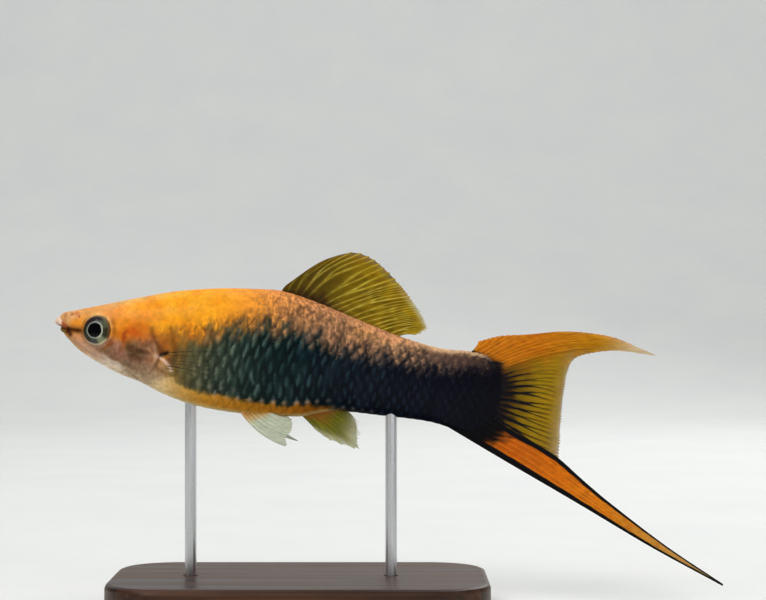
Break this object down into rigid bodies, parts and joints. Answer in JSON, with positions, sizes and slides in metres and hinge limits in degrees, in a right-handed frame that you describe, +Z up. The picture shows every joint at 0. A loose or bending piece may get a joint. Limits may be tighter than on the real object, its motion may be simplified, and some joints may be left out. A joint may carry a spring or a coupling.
{
  "type": "swordtail fish model",
  "caption": "Life-size still model of a male swordtail, a slim aquarium fish with a long sword under its tail fin, on a small display stand.",
  "frame": {"origin": "middle of the stand's underside, on the surface that it rests on", "axes": "+Z up, -X towards the fish's snout, +X towards its tail, -Y towards its left side"},
  "size_m": [0.1136, 0.038, 0.0609],
  "materials": {
    "skin": "wet scaly skin, orange head and back breaking into a blue-black flank, satin gloss",
    "eye": "black pupil, thin silver ring, dark olive iris, clear glossy cornea",
    "fin": "thin translucent membrane over branched rays, ochre to orange, black at the tail base",
    "sword": "orange band between black edges, cream at the tip",
    "clear_fin": "thin pale translucent membrane over fine rays",
    "stand_wood": "dark stained hardwood, satin oil",
    "stand_steel": "fine brushed rod"
  },
  "bodies": {
    "root": {"head": "skin", "gill_cover_left": "skin", "gill_cover_right": "skin", "eye_left": "eye", "eye_right": "eye", "trunk": "skin", "tail_stem": "skin", "dorsal_fin": "fin", "tail_fin_upper_lobe": "fin", "tail_fin_fan": "fin", "tail_fin_sword": "sword", "anal_fin": "fin", "pelvic_fin_left": "clear_fin", "pelvic_fin_right": "clear_fin", "pectoral_fin_left": "clear_fin", "pectoral_fin_right": "clear_fin", "stand_base": "stand_wood", "stand_rod_front": "stand_steel", "stand_rod_rear": "stand_steel"}
  },
  "joints": []
}
